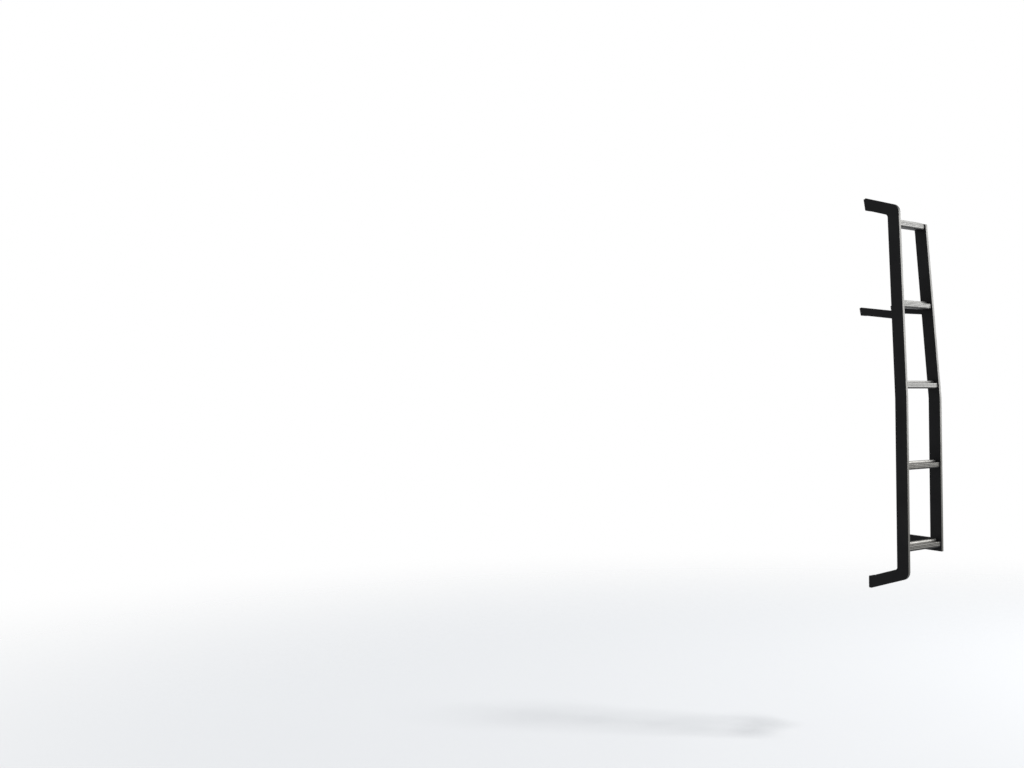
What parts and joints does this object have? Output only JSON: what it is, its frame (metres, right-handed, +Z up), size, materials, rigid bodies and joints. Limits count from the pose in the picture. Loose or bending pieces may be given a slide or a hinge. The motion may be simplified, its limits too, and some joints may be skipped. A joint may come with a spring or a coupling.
{
  "type": "vehicle ladder",
  "caption": "Rear-door vehicle ladder with two flat-sided rails, bent arms, ribbed stepped rungs and bolted foot plates on rubber pads.",
  "frame": {"origin": "middle of the contact face of the lower left foot", "axes": "+X to the climber's right along the rungs, +Y towards the door, +Z up along the lower rails"},
  "size_m": [0.312, 0.2265, 1.7022],
  "materials": {
    "black_coat": "satin black powder coat",
    "rung_aluminium": "grey satin extrusion, worn on the ribs",
    "pad_rubber": "matt"
  },
  "bodies": {
    "root": {"left_side_rail": "black_coat", "left_middle_arm": "black_coat", "right_side_rail": "black_coat", "right_middle_arm": "black_coat", "right_lower_arm": "black_coat", "top_rung": "rung_aluminium", "upper_rung": "rung_aluminium", "middle_rung": "rung_aluminium", "lower_rung": "rung_aluminium", "bottom_rung": "rung_aluminium", "left_top_foot": "black_coat", "left_middle_foot": "black_coat", "left_bottom_foot": "black_coat", "right_middle_foot": "black_coat", "right_bottom_foot": "black_coat", "left_top_pad": "pad_rubber", "left_middle_pad": "pad_rubber", "left_bottom_pad": "pad_rubber", "right_middle_pad": "pad_rubber", "right_bottom_pad": "pad_rubber"}
  },
  "joints": []
}
